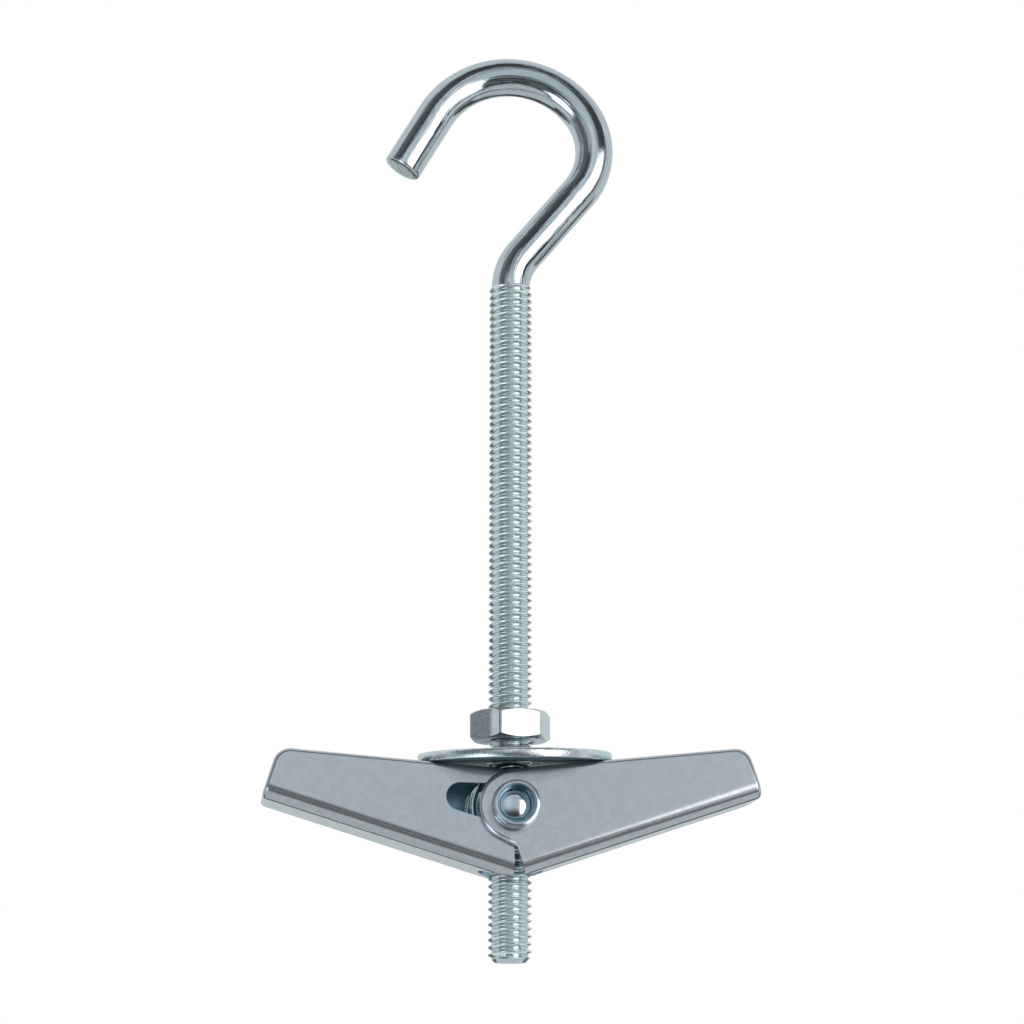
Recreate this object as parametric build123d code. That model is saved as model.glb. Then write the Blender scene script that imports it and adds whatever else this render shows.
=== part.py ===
from build123d import *
import os
from math import asin, atan, cos, degrees, radians, sin, sqrt, tan

# Spring toggle anchor with an open hook, for hanging things from a hollow ceiling.
# Two folded sheet wings pivot on a trunnion nut that runs on the threaded rod. They
# fold up beside the rod to pass a drilled hole, and a spring opens them behind it.
# Lengths are millimetres. Z runs up the rod from its lower end to the hook, X runs
# along the open wings and Y along their pivot. The helical thread is a plain cylinder
# of its crest diameter here.

# Rod and hook, one piece of wire with a rolled thread
thread_d = 5.9
thread_length = 92.5
thread_chamfer = 0.9
thread_runout = 0.35
hook_wire_d = 5.25
hook_neck_r = 7.4
hook_neck_turn = 39.7
hook_slope_length = 12.25
hook_throat_r = 9.5
hook_throat_turn = 77.2
hook_bow_r = 12.3
hook_bow_turn = 112.2
hook_tail_length = 9.3
hook_tip_bevel = 0.35

# Fits
thread_clearance = 0.05
pivot_clearance = 0.06
side_clearance = 0.1
strand_gap = 0.1

# Hexagon nut
nut_across_flats = 9.8
nut_height = 3.9
nut_bottom_z = 29.32
nut_turn = 10.9
nut_chamfer_angle = 30.0
nut_countersink = 0.55
nut_face_inset = 0.1

# Washer, lying loose on the wings' front flanges
washer_d = 26.0
washer_thickness = 1.25
washer_bore = 7.4
washer_shift = 0.62
washer_tilt = 3.5
washer_rim_r = 0.35
washer_seat_gap = 0.06

# Wings
pivot_z = 20.1
wing_rise = 17.85
toggle_lean = 0.65
sheet = 1.0
bend_r = 2.2
wing_width = 13.0
wing_length = 31.9
web_drop = 9.0
lug_r = 4.8
lug_flank_angle = 45.0
top_taper = 12.6
tip_corner_r = 2.3
tip_foot_r = 0.6
inner_end = 1.5
web_middle_gap = 0.1
heel_inset = 0.1
notch_r = 4.4
slot_reach = 7.2
slot_drop = 1.05
slot_end_r = 1.85

# Drawn collar round the pivot in each outer flange
collar_r = 3.05
collar_height = 2.2
collar_crown_r = 1.0
collar_root_r = 0.15
bell_r = 2.6
bell_depth = 1.8

# Trunnion nut
barrel_r = 4.9
barrel_edge = 0.3
shoulder_r = 2.77
stub_r = 2.04
stub_seat = 0.65
stub_dome = 0.5
bore_countersink = 0.4

# Torsion spring, two coils joined by a bow
leg_length = 12.0
bow_corner_r = 1.3
coil_turns_at_most = 1.1

# How far a cutting tool reaches past what it cuts, and how near an edge is looked for
cut_past = 1.0
near = 0.01

# Sizes that follow
rod_r = thread_d / 2
thread_bore_r = rod_r + thread_clearance
lap = (sheet + side_clearance) / 2
outer_face_y = wing_width / 2 + lap
inner_gap_y = wing_width / 2 - lap - sheet
inner_hole_r = shoulder_r + pivot_clearance
collar_bore_r = stub_r + pivot_clearance
web_inside = web_drop - sheet
bend_inside_r = bend_r - sheet
spring_wire_d = (inner_gap_y - rod_r - 2 * side_clearance - strand_gap) / 2
coil_pitch = spring_wire_d + strand_gap / 2
coil_r = barrel_r + side_clearance + spring_wire_d / 2
coil_inner_y = rod_r + side_clearance + spring_wire_d / 2


def polar(radius, angle):
    """Return the point at a radius and an angle in degrees."""
    return (radius * cos(radians(angle)), radius * sin(radians(angle)))


def hook_path():
    """Return the hook's centreline, from the end of the thread to the cut tip."""
    neck = JernArc((0, thread_length), (0, 1), hook_neck_r, -hook_neck_turn)
    slope = Line(neck @ 1, neck @ 1 + (neck % 1) * hook_slope_length)
    throat = JernArc(slope @ 1, slope % 1, hook_throat_r, hook_throat_turn)
    bow = JernArc(throat @ 1, throat % 1, hook_bow_r, hook_bow_turn)
    tail = Line(bow @ 1, bow @ 1 + (bow % 1) * hook_tail_length)
    return Plane.XZ * Wire([part.edge() for part in (neck, slope, throat, bow, tail)])


def make_hook_rod():
    """Return the threaded rod with its hook: one bent wire."""
    top = thread_length
    profile = Polyline(
        (0, 0),
        (rod_r - thread_chamfer, 0),
        (rod_r, thread_chamfer),
        (rod_r, top - thread_runout),
        (hook_wire_d / 2, top),
        (0, top),
        close=True,
    )
    rod = revolve(Plane.XZ * make_face(profile), Axis.Z)
    path = hook_path()
    start = Plane(origin=path @ 0, z_dir=path % 0)
    wire = sweep(start * Circle(hook_wire_d / 2), path=path)
    tip = path @ 1
    rim = wire.edges().filter_by(GeomType.CIRCLE).sort_by_distance(tip)[0]
    wire = chamfer(rim, hook_tip_bevel)
    return rod + wire


def make_hex_nut():
    """Return the nut: a hexagon with both faces turned down at its corners."""
    corner_r = nut_across_flats / 2 / cos(radians(30))
    prism = extrude(RegularPolygon(corner_r, 6, rotation=30), nut_height)
    face_r = nut_across_flats / 2 - nut_face_inset
    drop = (corner_r - face_r) * tan(radians(nut_chamfer_angle))
    turned = Polyline(
        (0, 0),
        (face_r, 0),
        (corner_r, drop),
        (corner_r, nut_height - drop),
        (face_r, nut_height),
        (0, nut_height),
        close=True,
    )
    body = prism & revolve(Plane.XZ * make_face(turned), Axis.Z)
    sink_r = thread_bore_r + nut_countersink
    bore = Polyline(
        (0, -cut_past),
        (sink_r + cut_past, -cut_past),
        (thread_bore_r, nut_countersink),
        (thread_bore_r, nut_height - nut_countersink),
        (sink_r + cut_past, nut_height + cut_past),
        (0, nut_height + cut_past),
        close=True,
    )
    body -= revolve(Plane.XZ * make_face(bore), Axis.Z)
    facing = -90 + nut_turn
    return Pos(0, 0, nut_bottom_z) * Rot(0, 0, facing) * body


def wing_edge_height(x, rise):
    """Return how high above the pivot a wing's top edge is at a distance x."""
    slope = radians(rise - top_taper)
    return lug_r / cos(slope) + x * tan(slope)


def make_washer():
    """Return the washer as it lies: down on both front flanges, leaning on the rod."""
    disc = Cylinder(washer_d / 2, washer_thickness, align=(Align.CENTER, Align.CENTER, Align.MIN))
    top_rim = disc.edges().filter_by(GeomType.CIRCLE).sort_by(Axis.Z)[-1]
    disc = fillet(top_rim, washer_rim_r)
    disc -= Cylinder(washer_bore / 2, 2 * (washer_thickness + cut_past))
    half_chord = sqrt((washer_d / 2) ** 2 - outer_face_y**2)
    right = wing_edge_height(half_chord + washer_shift, wing_rise + toggle_lean)
    left = wing_edge_height(half_chord - washer_shift, wing_rise - toggle_lean)
    roll = degrees(atan((right - left) / (2 * half_chord)))
    middle = (right + left) / 2 + washer_seat_gap
    seat = pivot_z + middle + outer_face_y * tan(radians(washer_tilt))
    return Pos(washer_shift, 0, seat) * Rot(washer_tilt, -roll, 0) * disc


def make_trunnion_nut():
    """Return the barrel nut that the rod screws through and the wings turn on."""
    barrel_end = inner_gap_y - side_clearance
    shoulder_end = outer_face_y - sheet - side_clearance / 2
    stub_end = outer_face_y - sheet + stub_seat
    dome_r = (stub_r**2 + stub_dome**2) / (2 * stub_dome)
    half = [
        Line((0, 0), (barrel_r, 0)),
        Line((barrel_r, 0), (barrel_r, barrel_end - barrel_edge)),
        Line((barrel_r, barrel_end - barrel_edge), (barrel_r - barrel_edge, barrel_end)),
        Line((barrel_r - barrel_edge, barrel_end), (shoulder_r, barrel_end)),
        Line((shoulder_r, barrel_end), (shoulder_r, shoulder_end)),
        Line((shoulder_r, shoulder_end), (stub_r, shoulder_end)),
        Line((stub_r, shoulder_end), (stub_r, stub_end)),
        RadiusArc((stub_r, stub_end), (0, stub_end + stub_dome), -dome_r),
        Line((0, stub_end + stub_dome), (0, 0)),
    ]
    turned = revolve(make_face(half), Axis.Y)
    turned += mirror(turned, about=Plane.XZ)
    bore = Polyline(
        (0, 0),
        (thread_bore_r, 0),
        (thread_bore_r, barrel_r - bore_countersink),
        (thread_bore_r + bore_countersink, barrel_r),
        (thread_bore_r + bore_countersink, barrel_r + cut_past),
        (0, barrel_r + cut_past),
        close=True,
    )
    hole = revolve(Plane.XZ * make_face(bore), Axis.Z)
    hole += mirror(hole, about=Plane.XY)
    return Pos(0, 0, pivot_z) * (turned - hole)


def make_torsion_spring():
    """Return the spring: a coil each side of the rod, a bow and two free legs.

    The legs lie in the wings' bends, clear of them by half the side clearance.
    """
    room_r = bend_inside_r - spring_wire_d / 2 - side_clearance / 2
    off_bend = coil_inner_y + coil_turns_at_most * coil_pitch - (inner_gap_y - bend_inside_r)
    leg_height = bend_inside_r - sqrt(max(room_r**2 - off_bend**2, 0))
    drop = web_inside - leg_height - coil_r
    lean = wing_rise - degrees(asin(drop / leg_length))
    leave = lean - 90
    arrive = -180 - leave
    turns = 1 + (leave - arrive) / 360
    coil_outer_y = coil_inner_y + coil_pitch * turns

    ax, az = polar(coil_r, arrive)
    lx, lz = polar(coil_r, leave)
    dx, dz = polar(1, lean)
    run_length = leg_length - bow_corner_r
    corner = Vector(ax - dx * run_length, -coil_inner_y, az + dz * run_length)
    outward = Vector(-dx, 0, dz)
    bow_side = corner + outward * bow_corner_r + Vector(0, bow_corner_r, 0)
    middle = Vector(bow_side.X, 0, bow_side.Z)
    coil_plane = Plane(
        origin=(0, -coil_inner_y, 0),
        x_dir=(ax, 0, az),
        z_dir=(0, -1, 0),
    )
    coil = coil_plane.location * Helix(coil_pitch, coil_pitch * turns, coil_r)
    leg_end = Vector(lx + dx * leg_length, -coil_outer_y, lz + dz * leg_length)
    path = Wire(
        [
            Edge.make_line(middle, bow_side),
            TangentArc(bow_side, corner, tangent=(0, -1, 0)).edge(),
            Edge.make_line(corner, (ax, -coil_inner_y, az)),
            coil.edge(),
            Edge.make_line((lx, -coil_outer_y, lz), leg_end),
        ]
    )
    start = Plane(origin=path @ 0, z_dir=path % 0)
    half = sweep(start * Circle(spring_wire_d / 2), path=path)
    spring = half + mirror(half, about=Plane.XZ)
    return Pos(0, 0, pivot_z) * Rot(0, -toggle_lean, 0) * spring


def flange_outline(foot):
    """Return a flange's side outline down past the web, with its round lug.

    foot lists the corner points that close the outline under the lug, from the
    web's level up to the point where the edge meets the lug.
    """
    below = -web_drop - sheet
    crown = polar(lug_r, 90 - top_taper)
    tip_drop = (wing_length - crown[0]) * tan(radians(top_taper))
    tip = (wing_length, crown[1] - tip_drop)
    body = make_face(Polyline((0, 0), crown, tip, (wing_length, below), *foot, close=True))
    body = fillet(body.vertices().sort_by_distance(tip)[0], tip_corner_r)
    return body + Circle(lug_r)


def outer_outline():
    """Return the outer flange's outline: a slanting flank, then a square end."""
    flank = polar(lug_r, 180 + lug_flank_angle)
    knee_z = flank[1] + (flank[0] + inner_end) / tan(radians(lug_flank_angle))
    below = -web_drop - sheet
    return flange_outline([(-inner_end, below), (-inner_end, knee_z), flank])


def inner_outline():
    """Return the inner flange's outline: it ends upright beside the middle plane."""
    below = -web_drop - sheet
    lean = tan(radians(wing_rise))
    inset = web_middle_gap / cos(radians(wing_rise))
    heel = polar(lug_r - heel_inset, 270 - wing_rise)
    return flange_outline([(below * lean + inset, below), (heel[0] + inset, heel[1])])


def folded_strip():
    """Return the bent sheet before its sides are trimmed: a U section."""
    top = lug_r + sheet
    depth = top + web_drop
    middle = (top - web_drop) / 2
    outside = Pos(0, middle) * Rectangle(wing_width, depth)
    outside = fillet(outside.vertices().group_by(Axis.Y)[0], bend_r)
    inside = Pos(0, middle + sheet) * Rectangle(wing_width - 2 * sheet, depth)
    inside = fillet(inside.vertices().group_by(Axis.Y)[0], bend_inside_r)
    back = -lug_r - sheet
    section = Plane.YZ.offset(back) * (outside - inside)
    return extrude(section, wing_length + sheet - back)


def across(outline, y_low, y_high):
    """Return a side outline made solid between two places across the wing."""
    return extrude(Plane.XZ.offset(-y_high) * outline, y_high - y_low)


def make_collar(face_y):
    """Return the drawn collar with its crowned rim, standing out to -Y, and its bore."""
    rim_y = face_y - collar_height
    crown_drop = collar_crown_r - sqrt(collar_crown_r**2 - (collar_r - bell_r) ** 2)
    ring = [
        Line((0, face_y + sheet / 2), (collar_r, face_y + sheet / 2)),
        Line((collar_r, face_y + sheet / 2), (collar_r, rim_y + crown_drop)),
        RadiusArc((collar_r, rim_y + crown_drop), (bell_r, rim_y), collar_crown_r),
        Line((bell_r, rim_y), (0, rim_y)),
        Line((0, rim_y), (0, face_y + sheet / 2)),
    ]
    collar = revolve(make_face(ring), Axis.Y)
    flare = bell_r - collar_bore_r
    curve_r = (flare**2 + bell_depth**2) / (2 * flare)
    inner_y = face_y + sheet + cut_past
    bore = [
        Line((0, inner_y), (collar_bore_r, inner_y)),
        Line((collar_bore_r, inner_y), (collar_bore_r, rim_y + bell_depth)),
        RadiusArc((collar_bore_r, rim_y + bell_depth), (bell_r, rim_y), curve_r),
        Line((bell_r, rim_y), (bell_r, rim_y - cut_past)),
        Line((bell_r, rim_y - cut_past), (0, rim_y - cut_past)),
        Line((0, rim_y - cut_past), (0, inner_y)),
    ]
    return collar, revolve(make_face(bore), Axis.Y)


def make_wing():
    """Return a wing, opened to the right: one folded sheet with collar, slot and notch."""
    front = -wing_width / 2
    back = wing_width / 2
    flat = back - bend_r
    strip = folded_strip()
    sides = across(outer_outline(), front - cut_past, -flat)
    sides += across(inner_outline(), flat, back + cut_past)
    floor = Box(
        wing_length + inner_end,
        2 * flat,
        2 * sheet + cut_past,
        align=(Align.MIN, Align.CENTER, Align.MIN),
    )
    sides += Pos(-inner_end, 0, -web_drop - sheet) * floor
    wing = strip & sides

    foot = wing.edges().filter_by(Axis.Y).group_by(Axis.X)[-1].sort_by(Axis.Z)[0]
    wing = fillet(foot, tip_foot_r)

    hole = Circle(inner_hole_r)
    slot_end = Pos(slot_reach, -slot_drop) * Circle(slot_end_r)
    keyhole = make_hull(hole.edges() + slot_end.edges())
    wing -= across(keyhole, back - sheet - cut_past, back + cut_past)

    rod_cross = (web_drop - sheet / 2) * tan(radians(wing_rise))
    notch = Cylinder(notch_r, 2 * (sheet + cut_past))
    wing -= Pos(-rod_cross, lap, -web_drop) * notch

    collar, bore = make_collar(front)
    wing += collar
    root = wing.edges().filter_by(GeomType.CIRCLE)
    root = [edge for edge in root if abs(edge.radius - collar_r) < near]
    root = [edge for edge in root if abs(edge.center().Y - front) < near]
    wing = fillet(root, collar_root_r)
    wing -= bore
    return Pos(0, -lap, 0) * Rot(0, -wing_rise, 0) * wing


def write(name, shape):
    """Write one sub-part as a STEP file named after its node."""
    export_step(shape, os.path.join("parts", name + ".step"))


os.makedirs("parts", exist_ok=True)
wing = make_wing()
toggle = Pos(0, 0, pivot_z) * Rot(0, -toggle_lean, 0)
write("hook_rod", make_hook_rod())
write("hex_nut", make_hex_nut())
write("washer", make_washer())
write("trunnion_nut", make_trunnion_nut())
write("torsion_spring", make_torsion_spring())
write("right_wing", toggle * wing)
write("left_wing", toggle * Rot(0, 0, 180) * wing)
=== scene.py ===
"""Scene of a spring toggle anchor with an open hook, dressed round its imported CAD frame.

Sizes in the classes are millimetres and angles are degrees. Meshes are made in metres,
in the frame of the CAD: Z up the rod, X along the open wings, Y along their pivot.
"""
import logging
from dataclasses import dataclass
from enum import Enum
from typing import Any, Sequence

import bmesh
import bpy
import numpy as np
from mathutils import Matrix, Vector


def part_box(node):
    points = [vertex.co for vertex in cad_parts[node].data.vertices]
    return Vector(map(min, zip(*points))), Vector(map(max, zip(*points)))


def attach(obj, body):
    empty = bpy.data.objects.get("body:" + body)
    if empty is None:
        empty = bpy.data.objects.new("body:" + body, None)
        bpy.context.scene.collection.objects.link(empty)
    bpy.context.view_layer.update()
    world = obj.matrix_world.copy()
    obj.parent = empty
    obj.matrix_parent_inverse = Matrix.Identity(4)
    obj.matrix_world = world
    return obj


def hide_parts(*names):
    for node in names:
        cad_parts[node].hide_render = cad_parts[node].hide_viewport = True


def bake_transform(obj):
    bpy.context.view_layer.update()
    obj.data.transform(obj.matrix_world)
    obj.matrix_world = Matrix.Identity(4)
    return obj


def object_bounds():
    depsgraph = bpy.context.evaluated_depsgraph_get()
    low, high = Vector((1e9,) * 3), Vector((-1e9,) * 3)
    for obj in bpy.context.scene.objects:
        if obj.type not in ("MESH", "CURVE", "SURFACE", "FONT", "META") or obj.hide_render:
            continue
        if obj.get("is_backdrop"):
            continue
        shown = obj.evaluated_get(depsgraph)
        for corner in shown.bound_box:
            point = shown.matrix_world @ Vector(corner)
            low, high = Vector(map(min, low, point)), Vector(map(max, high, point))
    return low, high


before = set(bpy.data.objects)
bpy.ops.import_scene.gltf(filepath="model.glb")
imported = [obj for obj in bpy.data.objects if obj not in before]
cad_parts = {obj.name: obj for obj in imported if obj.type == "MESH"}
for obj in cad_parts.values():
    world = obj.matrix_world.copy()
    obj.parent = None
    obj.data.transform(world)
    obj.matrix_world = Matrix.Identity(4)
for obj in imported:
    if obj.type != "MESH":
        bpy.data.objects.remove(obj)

MM = 0.001
LOG = logging.getLogger("toggle_anchor")

Colour = tuple[float, float, float]
# A border is where a step leaves 0 and where it reaches 1. The second may be the lower.
Border = tuple[float, float]
# A band has its two ends and half the width of its soft borders.
Band = tuple[float, float, float]
WHITE: Colour = (1.0, 1.0, 1.0)
# How strong each finer octave of a noise is beside the one before.
NOISE_ROUGHNESS = 0.6
# The height of the wings' pivot over the rod's lower end.
PIVOT_Z = 20.1


class Body(Enum):
    """The bodies of the frame that the pieces ride on."""

    HOOK = "hook"
    NUT = "nut"
    WASHER = "washer"
    TOGGLE = "toggle"
    LEFT_WING = "left_wing"
    RIGHT_WING = "right_wing"


class Slot(Enum):
    """The record's material slots."""

    WIRE = "bright_wire"
    NUT = "nut_zinc"
    WASHER = "washer_zinc"
    TRUNNION = "trunnion_zinc"
    SPRING = "spring_steel"
    SHEET = "sheet_zinc"


def turn_matrix(axis: str, angle: float) -> np.ndarray:
    """Return the 3 by 3 matrix that turns a point about an axis.

    Args:
        axis: "X", "Y" or "Z".
        angle: The turn in degrees.

    Returns:
        The matrix, to be used as points @ matrix.T.
    """
    return np.array(Matrix.Rotation(np.radians(angle), 3, axis))


def rotation(angle: float, axis: str) -> Matrix:
    """Return Blender's 4 by 4 matrix of a turn in degrees about an axis."""
    return Matrix.Rotation(float(np.radians(angle)), 4, axis)


def grid_faces(rows: int, columns: int, wrap_rows: bool) -> np.ndarray:
    """Return the quads of a grid of points numbered row by row, whose rows are all closed.

    Args:
        rows: How many rows of points there are.
        columns: How many points each row has.
        wrap_rows: Whether the last row joins the first.

    Returns:
        An array of four indices for each quad.
    """
    i, j = np.meshgrid(np.arange(rows if wrap_rows else rows - 1), np.arange(columns), indexing="ij")
    below, beside = (i + 1) % rows, (j + 1) % columns
    corners = (i * columns + j, i * columns + beside, below * columns + beside, below * columns + j)
    return np.stack(corners, axis=-1).reshape(-1, 4)


def make_piece(name: str, points: np.ndarray, faces: np.ndarray) -> bpy.types.Object:
    """Return a new mesh object at the origin, with doubles merged and normals outward.

    Args:
        name: The piece's name.
        points: Points in millimetres, one row each.
        faces: Indices of the faces' corners.

    Returns:
        The object, linked to the scene.
    """
    mesh = bpy.data.meshes.new(name)
    mesh.from_pydata((points.reshape(-1, 3) * MM).tolist(), [], faces.tolist())
    piece = bpy.data.objects.new(name, mesh)
    bpy.context.scene.collection.objects.link(piece)
    clean_mesh(mesh)
    return piece


def grid_piece(name: str, grid: np.ndarray, wrap_rows: bool) -> bpy.types.Object:
    """Return a new mesh object made of a grid of points.

    Args:
        name: The piece's name.
        grid: Points in millimetres of shape (rows, columns, 3), each row closed.
        wrap_rows: Whether the last row joins the first.

    Returns:
        The object, linked to the scene.
    """
    return make_piece(name, grid, grid_faces(*grid.shape[:2], wrap_rows))


def clean_mesh(mesh: bpy.types.Mesh, merge: float = 0.0005) -> None:
    """Merge a mesh's doubles, drop what is left over and turn its faces outward.

    Args:
        mesh: The mesh to clean.
        merge: The distance in millimetres under which points become one.
    """
    work = bmesh.new()
    work.from_mesh(mesh)
    bmesh.ops.remove_doubles(work, verts=work.verts, dist=merge * MM)
    bmesh.ops.recalc_face_normals(work, faces=work.faces)
    work.to_mesh(mesh)
    work.free()
    mesh.validate()


def face_layout(mesh: bpy.types.Mesh) -> tuple[np.ndarray, np.ndarray]:
    """Return where a mesh's faces are and where they look.

    Args:
        mesh: The mesh to read.

    Returns:
        The faces' centres in millimetres and their normals.
    """
    centres, normals = (np.empty(len(mesh.polygons) * 3) for _ in range(2))
    mesh.polygons.foreach_get("center", centres)
    mesh.polygons.foreach_get("normal", normals)
    return centres.reshape(-1, 3) / MM, normals.reshape(-1, 3)


def set_finishes(mesh: bpy.types.Mesh, numbers: np.ndarray) -> None:
    """Give each face the number of its finish among the piece's finishes."""
    mesh.polygons.foreach_set("material_index", numbers)
    mesh.update()


def smooth_shade(piece: bpy.types.Object, angle: float) -> None:
    """Shade a piece smooth, with its edges over an angle in degrees kept sharp."""
    piece.data.shade_smooth()
    piece.data.set_sharp_from_angle(angle=float(np.radians(angle)))


def add_bevel(piece: bpy.types.Object, width: float, angle: float, segments: int, finish: int) -> None:
    """Round a piece's sharp edges with a Bevel modifier.

    Args:
        piece: The object to round.
        width: The width of the rounding in millimetres.
        angle: The angle in degrees over which an edge is rounded.
        segments: How many faces the rounding has across.
        finish: The number of the rounding's finish among the piece's finishes.
    """
    bevel = piece.modifiers.new("edge_rounding", "BEVEL")
    bevel.width, bevel.segments, bevel.material = width * MM, segments, finish
    bevel.limit_method = "ANGLE"
    bevel.angle_limit = float(np.radians(angle))
    bevel.harden_normals = True


def keep_flat(piece: bpy.types.Object, weight: int = 100) -> None:
    """Shade a piece's large flat faces flat, with a Weighted Normal modifier.

    Args:
        piece: The object to shade.
        weight: How far large faces outweigh small ones, 100 at the most.
    """
    flat = piece.modifiers.new("flat_faces", "WEIGHTED_NORMAL")
    flat.mode, flat.weight, flat.keep_sharp = "FACE_AREA", weight, True


def turned_points(radius: np.ndarray, height: np.ndarray, around: int) -> np.ndarray:
    """Return a section turned about Z: X and Y are its radius times cosine and sine.

    Args:
        radius: One radius for each place of the section.
        height: The height of each place.
        around: How many points each ring has.

    Returns:
        Points of shape (places, around, 3).
    """
    angle = np.linspace(0.0, 2.0 * np.pi, around, endpoint=False)
    x, y = np.outer(radius, np.cos(angle)), np.outer(radius, np.sin(angle))
    return np.stack([x, y, np.broadcast_to(height[:, None], x.shape)], axis=-1)


def tube_points(
    centres: np.ndarray, normals: np.ndarray, binormals: np.ndarray, radii: np.ndarray, around: int
) -> np.ndarray:
    """Return the grid of a round tube: each point is its centre plus radius times direction.

    Args:
        centres: One centre for each ring.
        normals: One unit vector across the path for each ring.
        binormals: The unit vectors square to the normals and the path.
        radii: One radius for each ring.
        around: How many points each ring has.

    Returns:
        Points of shape (rings, around, 3).
    """
    turn = np.linspace(0.0, 2.0 * np.pi, around, endpoint=False)[None, :, None]
    across = np.cos(turn) * normals[:, None, :] + np.sin(turn) * binormals[:, None, :]
    return centres[:, None, :] + radii[:, None, None] * across


class Graph:
    """A node tree, with one method that makes any node."""

    def __init__(self, tree: bpy.types.NodeTree) -> None:
        """Empty the tree and keep it."""
        self.tree = tree
        tree.nodes.clear()

    def node(self, kind: str, settings: dict[str, Any], inputs: dict[Any, Any]) -> bpy.types.Node:
        """Make a node, set what it is, then fill its sockets.

        Args:
            kind: The node's type name.
            settings: Properties that are set first.
            inputs: Values, terms or sockets by the socket's name or number.

        Returns:
            The new node.
        """
        made = self.tree.nodes.new(kind)
        for name, value in settings.items():
            setattr(made, name, value)
        for key, value in inputs.items():
            socket = made.inputs[key]
            if isinstance(value, Term):
                self.tree.links.new(value.socket, socket)
            elif isinstance(value, bpy.types.NodeSocket):
                self.tree.links.new(value, socket)
            else:
                socket.default_value = value
        return made

    def value(self, kind: str, settings: dict[str, Any], inputs: dict[Any, Any], output: Any = 0) -> "Term":
        """Make a node and return one of its outputs as a term."""
        return Term(self, self.node(kind, settings, inputs).outputs[output])


class Term:
    """One shader value. Python's operators on it add Math nodes."""

    def __init__(self, graph: Graph, socket: bpy.types.NodeSocket) -> None:
        """Keep the graph and the socket that carries the value."""
        self.graph = graph
        self.socket = socket

    def math(self, operation: str, *others: Any) -> "Term":
        """Return this value put through a Math node with others.

        Args:
            operation: The Math node's operation.
            others: Terms or numbers for its further sockets.

        Returns:
            The result as a term.
        """
        inputs = dict(enumerate((self, *others)))
        return self.graph.value("ShaderNodeMath", {"operation": operation}, inputs)

    def __add__(self, other: Any) -> "Term":
        """Return the sum."""
        return self.math("ADD", other)

    __radd__ = __add__

    def __sub__(self, other: Any) -> "Term":
        """Return the difference."""
        return self.math("SUBTRACT", other)

    def __rsub__(self, other: float) -> "Term":
        """Return a number less this value."""
        return self.graph.value("ShaderNodeMath", {"operation": "SUBTRACT"}, {0: other, 1: self})

    def __mul__(self, other: Any) -> "Term":
        """Return the product."""
        return self.math("MULTIPLY", other)

    __rmul__ = __mul__

    def step(self, low: float, high: float) -> "Term":
        """Return 0 below low and 1 above high, smooth between. High may be the lower one."""
        inputs = {"Value": self, "From Min": low, "From Max": high}
        return self.graph.value("ShaderNodeMapRange", {"interpolation_type": "SMOOTHSTEP"}, inputs)

    def within(self, low: float, high: float, soft: float) -> "Term":
        """Return 1 between two values and 0 outside, with soft borders of one width."""
        return self.step(low - soft, low + soft) * self.step(high + soft, high - soft)

    def part(self, number: int) -> "Term":
        """Return one part of this vector: 0 for X, 1 for Y and 2 for Z."""
        return self.graph.value("ShaderNodeSeparateXYZ", {}, {"Vector": self}, number)

    def along(self, axis: Sequence[float]) -> "Term":
        """Return how far this vector points along an axis, as a dot product."""
        settings = {"operation": "DOT_PRODUCT"}
        return self.graph.value("ShaderNodeVectorMath", settings, {0: self, 1: axis}, "Value")

    def covered(self, mask: "Term", value: Any) -> "Term":
        """Return this value, with another in its place where a mask is 1."""
        return self * (1.0 - mask) + mask * value

    def mix(self, *colours: Any) -> "Term":
        """Return the first of two colours where this value is 0 and the second where it is 1.

        The Mix node takes its factor in socket 0 and its colours in 6 and 7, and gives
        the mixed colour at output 2.

        Args:
            colours: Two colours, each a tuple or a term.

        Returns:
            The mixed colour.
        """
        rgba = [colour if isinstance(colour, Term) else (*colour, 1.0) for colour in colours]
        inputs = dict(zip((0, 6, 7), (self, *rgba)))
        return self.graph.value("ShaderNodeMix", {"data_type": "RGBA"}, inputs, 2)


def noise(place: Term, per_mm: float, detail: float, distortion: float = 0.0) -> Term:
    """Return a noise value at a place, with a number of patches to the millimetre.

    Args:
        place: The coordinates in metres.
        per_mm: Patches to the millimetre.
        detail: Octaves of finer noise.
        distortion: How far the patches are pulled about.

    Returns:
        The noise, about 0.5 on average.
    """
    inputs = {"Vector": place, "Scale": per_mm / MM, "Detail": detail}
    inputs |= {"Roughness": NOISE_ROUGHNESS, "Distortion": distortion}
    return place.graph.value("ShaderNodeTexNoise", {}, inputs)


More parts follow.
